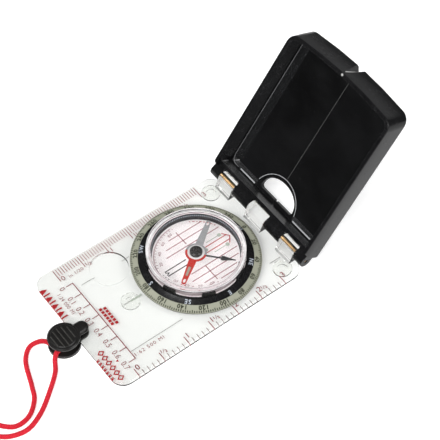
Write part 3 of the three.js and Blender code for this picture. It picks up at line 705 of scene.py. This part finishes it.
def edge_ticks(long_ink, short_ink, count, pitch, long_every, long_tick, short_tick):
    """Ticks across a long edge; each tick is (x from, x to, width)."""
    for i in range(count):
        y = SCALE_START_Y + i * pitch
        is_long = i % long_every == 0
        x_from, x_to, width = long_tick if is_long else short_tick
        (long_ink if is_long else short_ink).line((x_from, y), (x_to, y), width)


def half_label(ink_print, x, y):
    """A small one-over-two, turned a quarter."""
    place = placed(x, y, 90)

    def shifted(dx, dy):
        return lambda x, y, z: place(x + dx, y + dy, z)

    ink_print.text("1", 1.35, shifted(-0.95, 0.45), bold=0.03)
    ink_print.text("2", 1.35, shifted(0.95, -0.45), bold=0.03)
    ink_print.line((-0.45, -1.0), (0.45, 1.0), width=0.2, place=place)


def edge_labels(ink_print, spacing, x, height, bold, half_x, half_shift):
    for i, label in enumerate(SCALE_LABELS):
        y = SCALE_START_Y + i * spacing + 1.7
        whole = label.replace("h", "")
        if whole:
            ink_print.text(whole, height, placed(x, y, 90), bold=bold)
        if "h" in label:
            half_label(ink_print, half_x, y + (half_shift if whole else 0.3))


def plate_scales():
    brown = plate_print("plate_scales", INK_BROWN)
    inch_ticks = plate_print("plate_inch_ticks", ink("ink_edge_red", lit(168, 104, 104)))
    edge_ticks(brown, inch_ticks, 61, INCH_PITCH, long_every=10,
               long_tick=(-SCALE_EDGE_X, -26.35, 0.36), short_tick=(-SCALE_EDGE_X, -28.95, 0.32))
    mile_ticks = plate_print("plate_fine_ticks", ink("ink_edge_grey", lit(140, 116, 112)))
    edge_ticks(brown, mile_ticks, 31, MILE_PITCH, long_every=5,
               long_tick=(28.15, SCALE_EDGE_X, 0.40), short_tick=(30.3, 32.65, 0.32))
    mile_ticks.build()
    inch_ticks.build()
    # Scale across the -Y end
    end_ticks_x = [END_SCALE_X + i * END_SCALE_PITCH for i in range(8)]
    brown.line((-22.65, -49.75), (24.55, -49.75), width=0.42)
    for x in end_ticks_x:
        brown.line((x, -49.8), (x, -53.15), width=0.38)
    edge_labels(brown, INCH_PITCH * 10, x=-27.2, height=2.5, bold=0.0,
                half_x=-27.1, half_shift=2.0)
    edge_labels(brown, MILE_PITCH * 5, x=28.3, height=2.6, bold=0.01,
                half_x=28.6, half_shift=2.2)
    label_y = -55.0
    for i, x in enumerate(end_ticks_x):
        if i == 0:
            brown.text("0", 2.5, placed(x - 0.1, label_y, 0), stretch=0.95)
        else:
            brown.text(f"0.{i}", 2.5, placed(x + 0.4, label_y, 0), stretch=0.9, spacing=1.05)
    # Legends: text, x, y, turn, stretch, spacing
    for text, x, y, turn, stretch, spacing in (
            ("1:24 000 MI", -15.2, -57.9, 0, 0.92, 1.15),
            ("1:62 500 MI", 22.9, -41.5, 90, 1.05, 1.25),
            ("in 1/20", -26.4, -45.4, 90, 1.0, 1.1)):
        brown.text(text, 1.7, placed(x, y, turn), stretch=stretch, spacing=spacing)
    brown.build()


def plate_red_marks():
    red = plate_print("plate_red_marks", INK_RED)

    def triangle(x, half_width, base_y, tip_y):
        red.prism([(x - half_width, base_y), (x + half_width, base_y), (x, tip_y)])

    def dashes(x, y, count, length, width, pitch=1.75):
        for i in range(count):
            start = x + i * pitch
            red.line((start, y), (start + length, y), width)

    # Solid triangles and bars by turns, along the -Y edge
    base_y, tip_y, pitch = -63.3, -60.4, 4.6
    for i in range(4):
        x = -26.4 + i * pitch
        triangle(x, 1.5, base_y, tip_y)
        red.line((x + pitch / 2, base_y), (x + pitch / 2, tip_y), width=0.75)
    # Open diamonds over a dashed rule, in the +X, -Y corner
    y, half_width, half_height = -59.9, 1.1, 1.3
    for i in range(6):
        x = 13.8 + i * 2.9
        red.path([(x, y - half_height), (x + half_width, y), (x, y + half_height),
                  (x - half_width, y)], width=0.52, closed=True)
    dashes(15.6, -62.75, count=7, length=1.15, width=0.95)
    # Two rows of dashes on the +Y side of the end scale
    dashes(-4.7, -47.8, count=6, length=1.35, width=1.35)
    dashes(-4.2, -45.9, count=6, length=1.35, width=1.35)
    triangle(20.9, 0.7, base_y=-56.1, tip_y=-57.3)
    red.build()


def plate_lines():
    grey = plate_print("plate_grey_lines", INK_GREY)
    # x, y from, y to, width
    for x, y_from, y_to, width in (
            (-19.35, -47.25, -40.25, 0.26), (-19.35, -26.2, -22.2, 0.26),
            (20.65, -49.25, -22.6, 0.26), (20.65, 24.75, 30.75, 0.26),
            (-0.05, -38.6, -35.3, 0.34)):
        grey.line((x, y_from), (x, y_to), width)
    grey.build()
    index = plate_print("index_line", INK_GREEN)
    index.line((0, -35.1), (0, -29.3), width=0.75)
    index.build()


plate_scales()
plate_red_marks()
plate_lines()

# ---------------------------------------------------------------- dial numerals

# Sloping bands of the dial: (radius, height)
PALE_INNER, PALE_OUTER = (25.45, 4.36), (28.8, 3.25)
BLACK_OUTER, BLACK_INNER = (25.35, 4.42), (23.1, 5.2)
NUMERAL_LAYER = (-0.02, 0.04)


def pale_surface(radius):
    return slope(radius, PALE_INNER, PALE_OUTER)


def black_surface(radius):
    return slope(radius, BLACK_OUTER, BLACK_INNER)


def dial_prints():
    dial = Print("dial_numerals", "dial", INK_DARK, "pale_scale", layer=(-0.02, 0.03))
    tick_radius, tick_end = 28.3, 28.74
    for degrees in range(0, 360, 2):
        tick_start = 27.55 if degrees % 10 == 0 else 27.85
        dial.ring_tick(degrees, tick_radius, 0.44, tick_start - tick_radius,
                       tick_end - tick_radius, pale_surface)
    for degrees in range(0, 360, 20):
        dial.text(str(degrees), 1.75, on_ring(degrees, 26.62, pale_surface), bold=0.035,
                  stretch=1.08, spacing=1.15, layer=NUMERAL_LAYER)
    dial.build()

    letters = Print("dial_letters", "dial", INK_WHITE, "gloss_black", NUMERAL_LAYER)
    for i, point in enumerate(("N", "NE", "E", "SE", "S", "SW", "W", "NW")):
        letters.text(point, 1.8, on_ring(i * 45, 24.25, black_surface), bold=0.015, spacing=1.25)
    letters.build()


dial_prints()

# ---------------------------------------------------------------- capsule prints

CAPSULE_LAYER = (3.80, 3.83)
DISC_LAYER = (3.495, 3.53)

# x, y from, y to
MERIDIANS = ((-13.55, -5.0, 12.6), (-10.0, -8.9, 15.6), (-6.55, -11.1, 17.4), (6.55, -7.4, 17.6),
             (9.95, -9.3, 15.8), (13.45, -5.5, 12.2), (15.9, 1.7, 9.2))


def capsule_print(name, material, layer=CAPSULE_LAYER):
    return Print(name, "dial", material, "clear_acrylic", layer)


def capsule_meridians():
    lines = capsule_print("capsule_meridians", INK_MERIDIAN)
    for x, y_from, y_to in MERIDIANS:
        lines.line((x, y_from), (x, y_to), width=0.40)
    lines.line((-15.3, 0.35), (-7.6, 0.35), width=0.42)
    lines.line((6.4, 0.2), (15.3, 0.2), width=0.42)
    lines.build()


def declination_prints():
    """A scale both ways from -Y, with a pale band round it."""
    scale = capsule_print("declination_scale", ink("ink_faint", lit(186, 152, 156)))
    for side in (-1, 1):
        for value in range(5, 91, 5):
            degrees = 180 + side * value
            is_long = value % 20 == 0
            scale.ring_tick(degrees, 17.0, width=0.26, inner=0.15 if is_long else 0.5, outer=1.1)
            if is_long:
                scale.text(str(value), 1.35, on_ring(degrees, 15.9), bold=0.02, stretch=1.05,
                           spacing=1.1)
    scale.build()
    band = capsule_print("declination_band", INK_PINK, layer=(3.76, 3.79))
    band.path(ellipse_points((0, 0), (18.45, 18.45), range(-2, -179, -4)), width=0.55)
    band.build()


def capsule_red_arcs():
    arcs = capsule_print("capsule_red_arcs", INK_RED)
    for start, stop in ((-62, -22), (112, 152)):
        for degrees in range(start, stop, 5):
            width = 1.15 if (degrees // 3) % 3 else 0.6
            arcs.ring_tick(degrees, 18.6, width, inner=-0.16, outer=0.16)
    arcs.build()


def orienting_print(name, material):
    return Print(name, "orienting_disc_body", material, "clear_acrylic", DISC_LAYER)


def orienting_prints():
    arrow = orienting_print("orienting_arrow", INK_RED)
    for side in (-1, 1):
        arrow.line((side * 1.38, 4.6), (side * 1.38, 17.3), width=0.42)
    arrow.path([(-3.05, 16.2), (-1.7, 17.3), (0, 18.5), (1.7, 17.3), (3.05, 16.2)], width=0.44)
    arrow.build()
    tail = orienting_print("orienting_tail", INK_BLACK)
    for side in (-1, 1):
        tail.line((side * 1.28, -4.6), (side * 1.28, -15.9), width=0.50)
    tail.path([(-0.75, -15.9), (0, -14.6), (0.75, -15.9)], width=0.42)
    tail.build()
    luminous = orienting_print("orienting_luminous", INK_GREEN)
    for side in (-1, 1):
        luminous.line((side * 3.1, 7.9), (side * 3.1, 14.0), width=0.38)
        luminous.disc((side * 3.1, 14.9), radius=0.95)
    luminous.disc((0, 5.6), radius=0.85)
    luminous.build()


def cone_tick(ink_print, degrees, width, bottom, top):
    """A tick on the inside wall of the graduated ring."""
    verts = []
    for z in (bottom, top):
        wall = slope(z, CONE_FOOT, CONE_TOP)
        for radius in (wall - 0.05, wall + 0.03):
            for side in (-1, 1):
                angle = math.radians(degrees) + side * width / 2 / wall
                verts.append((radius * math.sin(angle), radius * math.cos(angle), z))
    ink_print.add(verts, BOX_FACES)


def inner_scale_prints():
    # Each tick sets its own heights, so the layer is not used
    major = Print("inner_scale_ticks", "dial", INK_WHITE, "pale_scale", layer=None)
    minor = Print("inner_scale_minor", "dial", INK_TICK, "pale_scale", layer=None)
    for i in range(144):
        degrees = i * 2.5
        cone_tick(major, degrees, width=0.34, bottom=6.75, top=7.55)
        cone_tick(minor, degrees, width=0.20, bottom=5.1 if i % 4 == 0 else 5.7, top=6.4)
    major.build()
    minor.build()


capsule_meridians()
declination_prints()
capsule_red_arcs()
orienting_prints()
inner_scale_prints()

# ---------------------------------------------------------------- needle prints


def needle_prints():
    window_paint = plastic("needle_luminous", lit(158, 156, 142), rough=0.6, variation=0.12,
                           grain=0.008, mottle=800.0)
    collar_paint = plastic("hub_collar_white", lit(238, 236, 235), rough=0.5, variation=0.06,
                           grain=0.006)
    collar = Print("needle_hub_collar", "needle", collar_paint, "needle_paint", (6.74, 6.78))
    collar.path(ellipse_points((0, 0), (3.32, 3.32), range(0, 360, 8)), width=0.95, closed=True)
    collar.build()
    window = Print("needle_luminous_window", "needle", window_paint, "needle_paint",
                   (6.745, 6.775), placed(0, 0, NEEDLE_ANGLE))
    window.prism([(8.1, -0.55), (12.9, -0.50), (12.9, 0.50), (8.1, 0.55)])
    window.build()


needle_prints()

# ---------------------------------------------------------------- lid prints


def lid_print(name, material, slot, layer):
    return Print(name, "lid", material, slot, layer, in_lid)


def mirror_sight_line():
    sight = lid_print("mirror_sight_line", sight_grey, "mirror", (-4.41, -4.375))
    sight.line((0, 19.4), (0, 74.6), width=0.20)
    sight.build()


def mirror_edge_painted_highlight():
    """Painted highlight along the edge of the glass near the hinge, with an arch in the middle."""
    bright = lid_print("mirror_edge_painted_highlight", mirror_edge_highlight_paint, "mirror", (-4.42, -4.37))
    for x_from, x_to in ((-23.4, -13.2), (13.4, 25.7)):
        bright.line((x_from, 6.75), (x_to, 6.75), width=0.62, layer=(-4.42, -4.36))
    bright.path(ellipse_points((0.1, 6.2), (12.95, 12.7), range(12, 165, 4)), width=0.24)
    bright.build()


def sighting_notch():
    """A pale strip on one flank of the notch, painted light for the light that shows through the
    slit at its bottom, and a dot below it.
    """
    paint = plastic("notch_painted_light", lit(190, 190, 188), rough=0.5, variation=0.1, grain=0.006)
    notch = lid_print("sighting_notch_line", paint, "gloss_black", (4.0, 4.22))
    # The flank starts at (-0.3, 77.3) and rises by (-run, rise) over its length
    run, rise, length = 5.5, 7.1, 8.98

    def flank(down, proud):
        return (-0.3 - run * down / length + rise * proud / length,
                77.3 + rise * down / length + run * proud / length)

    # Painted light: the pale strip on the flank of the notch
    notch.add([in_lid(*flank(down, proud), out)
               for down in (0.0, 0.42) for proud in (-0.02, 0.04) for out in (-7.2, 2.6)],
              BOX_FACES)
    notch.disc((0, 76.1), radius=0.56)
    notch.build()


def mirror_edge_dull():
    """Dull edge of the glass on the -X side, turning the corner near the hinge."""
    dull = lid_print("mirror_edge_dull", edge_grey, "mirror", (-4.42, -4.375))
    dull.path([(-29.85, 73.0), (-29.85, 10.0), (-29.3, 8.0), (-28.0, 6.8), (-25.0, 6.55)],
              width=0.26)
    dull.build()


mirror_sight_line()
mirror_edge_painted_highlight()
sighting_notch()
mirror_edge_dull()

# ---------------------------------------------------------------- clip grooves


def clip_groove_wear():
    """Painted highlights: pale lines across the round pad of the clip, where the groove edges catch
    the light.
    """
    pad_y, pad_radius, pitch, inset = -69.5, 5.7, 2.05, 0.75
    paint = plastic("rubbed_black", lit(104, 102, 98), rough=0.5, variation=0.25, grain=0.01,
                    mottle=700.0)
    rub = Print("clip_groove_wear", "clip_lever", paint, "satin_black", (5.38, 5.43))
    # Painted highlight along each groove
    for i in range(-2, 3):
        y = pitch * i
        half = math.sqrt(pad_radius ** 2 - y ** 2) - inset
        rub.line((-half, pad_y + y), (half, pad_y + y), width=0.34)
    rub.build()


clip_groove_wear()

# ---------------------------------------------------------------- braided lanyard

# Points along the cord's middle, x, y, z
CORD = [
    (-1.9, -74.3, 1.6), (-4.4, -75.2, 1.45), (-6.6, -77.2, 0.6), (-7.4, -81.4, -0.25),
    (-3.3, -86.2, -0.3), (9.1, -91.1, -0.3), (14.8, -93.6, -0.3), (20.2, -99.8, -0.3),
    (20.8, -106.2, -0.3), (17.6, -110.4, -0.3), (13.2, -113.4, -0.3), (10.6, -117.6, -0.3),
    (13.2, -121.2, -0.3), (17.6, -119.8, -0.3), (19.8, -115.4, -0.3), (23.2, -110.6, -0.3),
    (24.9, -103.5, -0.3), (22.0, -95.4, -0.3), (15.2, -86.2, -0.3), (9.2, -79.6, 0.2),
    (4.6, -76.6, 1.35), (2.7, -74.2, 1.6), (2.3, -71.7, 1.7), (0.9, -70.05, 1.7),
    (-0.9, -70.05, 1.7), (-2.3, -71.5, 1.7), (-2.35, -72.6, 1.65),
]
CORD_RADIUS = 1.08
CORD_STEP = 0.16  # spacing of the rings of vertices
CORD_AROUND = 28  # vertices in a ring
STRANDS = 8
BRAID_PITCH = 5.2
BRAID_DEPTH = 0.22


def catmull(points, per_span=40):
    """Centripetal Catmull-Rom curve through the points."""

    def between(a, b, at_a, at_b, t):
        return a * ((at_b - t) / (at_b - at_a)) + b * ((t - at_a) / (at_b - at_a))

    points = [Vector(p) for p in points]
    points = [points[0] * 2 - points[1]] + points + [points[-1] * 2 - points[-2]]
    curve = []
    for i in range(1, len(points) - 2):
        p = points[i - 1:i + 3]
        knots = [0.0]
        for a, b in zip(p, p[1:]):
            knots.append(knots[-1] + max((b - a).length, 1e-6) ** 0.5)
        t0, t1, t2, t3 = knots
        for k in range(per_span):
            t = t1 + (t2 - t1) * k / per_span
            first = between(p[0], p[1], t0, t1, t)
            middle = between(p[1], p[2], t1, t2, t)
            last = between(p[2], p[3], t2, t3, t)
            curve.append(between(between(first, middle, t0, t2, t),
                                 between(middle, last, t1, t3, t), t1, t2, t))
    curve.append(points[-2])
    return curve


def resample(points, step):
    """Points at an even step along a polyline."""
    even, carry = [points[0]], 0.0
    for a, b in zip(points, points[1:]):
        distance = (b - a).length
        while carry + distance >= step:
            a = a + (b - a) * ((step - carry) / distance)
            even.append(a)
            distance = (b - a).length
            carry = 0.0
        carry += distance
    return even


def braid_height(angle, distance):
    """Height, 0 to 1, of two sets of crossing strands that pass over and under."""
    turn = STRANDS * (angle / (2 * math.pi))
    travel = distance / BRAID_PITCH * STRANDS
    left = math.cos(math.pi * (turn + travel))
    right = math.cos(math.pi * (turn - travel))
    over = 0.5 + 0.5 * math.cos(2 * math.pi * travel)
    return max(abs(left) ** 0.7 * (0.72 + 0.28 * over), abs(right) ** 0.7 * (1.0 - 0.28 * over))


def lanyard():
    """A closed tube with a braided skin; the weave attribute holds the strand height."""
    line = resample(catmull(CORD), CORD_STEP)
    n, around = len(line), CORD_AROUND
    tangents = [(line[min(i + 1, n - 1)] - line[max(i - 1, 0)]).normalized() for i in range(n)]
    side = tangents[0].orthogonal().normalized()
    verts, faces, weave = [], [], []
    for i, (centre, tangent) in enumerate(zip(line, tangents)):
        side = (side - tangent * side.dot(tangent)).normalized()
        up = tangent.cross(side)
        # The last 1.2 mm of each end narrows
        taper = min(1.0, (i + 2) * CORD_STEP / 1.2, (n - i + 1) * CORD_STEP / 1.2) ** 0.5
        for j in range(around):
            angle = 2 * math.pi * j / around
            height = braid_height(angle, i * CORD_STEP)
            radius = (CORD_RADIUS - BRAID_DEPTH + BRAID_DEPTH * height) * taper
            verts.append(tuple(centre + (side * math.cos(angle) + up * math.sin(angle)) * radius))
            weave.append(height)
    for i in range(n - 1):
        for j in range(around):
            k = (j + 1) % around
            faces.append((i * around + j, i * around + k, (i + 1) * around + k,
                          (i + 1) * around + j))
    for end in (0, n - 1):
        tip = len(verts)
        verts.append(tuple(line[end] + tangents[end] * (0.18 if end else -0.18)))
        weave.append(0.6)
        for j in range(around):
            face = (end * around + j, tip, end * around + (j + 1) % around)
            faces.append(face if end == 0 else face[::-1])
    cord = new_object("lanyard_braid", verts, faces, cord_material(), smooth=True)
    cord.data.attributes.new("weave", "FLOAT", "POINT").data.foreach_set("value", weave)
    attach(cord, "plate")
    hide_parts("lanyard_cord")


lanyard()

# ---------------------------------------------------------------- floor, light, camera (metres)


def aim(obj, direction):
    """Turn the object's +Z along direction."""
    obj.rotation_mode = "QUATERNION"
    obj.rotation_quaternion = direction.to_track_quat("Z", "Y")


def plane(name, size, location, material):
    h = size / 2
    mesh = bpy.data.meshes.new(name)
    mesh.from_pydata([(-h, -h, 0), (h, -h, 0), (h, h, 0), (-h, h, 0)], [], [(0, 1, 2, 3)])
    mesh.materials.append(material)
    obj = bpy.data.objects.new(name, mesh)
    obj.location = location
    scene.collection.objects.link(obj)
    return obj


def floor():
    """Pale floor that glows brighter to the camera away from the product."""
    mat = new_material("studio_floor")
    clouds = mat.remap(mat.noise(6.0, detail=2.0))
    diffuse = mat.add("ShaderNodeBsdfDiffuse",
                      Color=mat.mix(clouds, (0.86, 0.86, 0.86), (0.88, 0.88, 0.88)))
    distance = mat.vector_math("LENGTH", mat.coord())["Value"]
    camera_ray = mat.node("ShaderNodeLightPath").outputs["Is Camera Ray"]
    sweep = mat.math("MULTIPLY", mat.remap(distance, to=(0.18, 0.80), over=(0.5, 1.5)), camera_ray)
    glow = mat.add("ShaderNodeEmission", Color=(1, 1, 1), Strength=mat.math("ADD", sweep, 0.30))
    plane("floor", 8.0, (0, 0, -1.36 * MM), mat.done(mat.add("ShaderNodeAddShader", diffuse, glow)))


def dark_card():
    """A dark card that only reflections see, facing the product from the -X, -Y side."""
    mat = new_material("dark_card")
    grade = mat.remap(mat.noise(4.0, detail=2.0), over=(0.35, 0.65))
    tint = mat.mix(grade, (0.004, 0.004, 0.004), (0.014, 0.014, 0.015))
    surface = mat.add("ShaderNodeEmission", Strength=1.0, Color=tint)
    card = plane("dark_card", 0.9, (0, 0, 0), mat.done(surface))
    away = Vector((-0.465, -0.881, 0.0975)).normalized()
    card.location = Vector((-0.02, 0.055, 0.035)) + away * 0.5
    aim(card, away)
    for ray in ("camera", "diffuse", "shadow", "transmission"):
        setattr(card, "visible_" + ray, False)


def studio_world():
    """Bright to the camera and through clear parts, dim as a light."""
    world = bpy.data.worlds.new("studio")
    scene.world = world
    sky = Shader(world, "ShaderNodeOutputWorld")
    dim = sky.add("ShaderNodeBackground", Color=(0.97, 0.985, 1.0), Strength=0.12)
    seen = sky.add("ShaderNodeBackground", Color=(1, 1, 1), Strength=0.95)
    rays = sky.node("ShaderNodeLightPath").outputs
    inside = sky.math("GREATER_THAN", rays["Transmission Depth"], 0.5)
    through = sky.math("SUBTRACT", inside, rays["Is Diffuse Ray"], clamp=True)
    seen_ray = sky.math("MAXIMUM", rays["Is Camera Ray"], through)
    sky.done(sky.mix_shader(seen_ray, dim, seen))


def softbox(name, location, target, size, power):
    light = bpy.data.lights.new(name, "AREA")
    light.shape = "SQUARE"
    light.size = size
    light.energy = power
    obj = bpy.data.objects.new(name, light)
    obj.location = location
    aim(obj, Vector(location) - Vector(target))
    scene.collection.objects.link(obj)


def camera():
    data = bpy.data.cameras.new("camera")
    data.sensor_width = 36.0
    data.lens = 114.72
    data.clip_start = 0.02
    data.clip_end = 20
    obj = bpy.data.objects.new("camera", data)
    right = (0.60657, 0.79496, 0.01057)
    up = (-0.64485, 0.48417, 0.59140)
    back = (0.46502, -0.36554, 0.80631)
    turn = Matrix((right, up, back)).transposed().to_4x4()
    obj.matrix_world = Matrix.Translation((0.28025, -0.20737, 0.50620)) @ turn
    scene.collection.objects.link(obj)
    scene.camera = obj


floor()
dark_card()
studio_world()
softbox("key", (0.35, -0.90, 1.30), target=(0, -0.02, 0), size=1.1, power=26)
softbox("fill", (-1.20, -0.80, 0.75), target=(0, 0, 0), size=0.9, power=12)
softbox("back", (1.10, 0.50, 0.95), target=(0, 0, 0), size=0.8, power=12)
camera()

scene.view_settings.view_transform = "Standard"
scene.cycles.transparent_max_bounces = 48
scene.cycles.max_bounces = 32
scene.cycles.transmission_bounces = 32

bpy.context.view_layer.update()
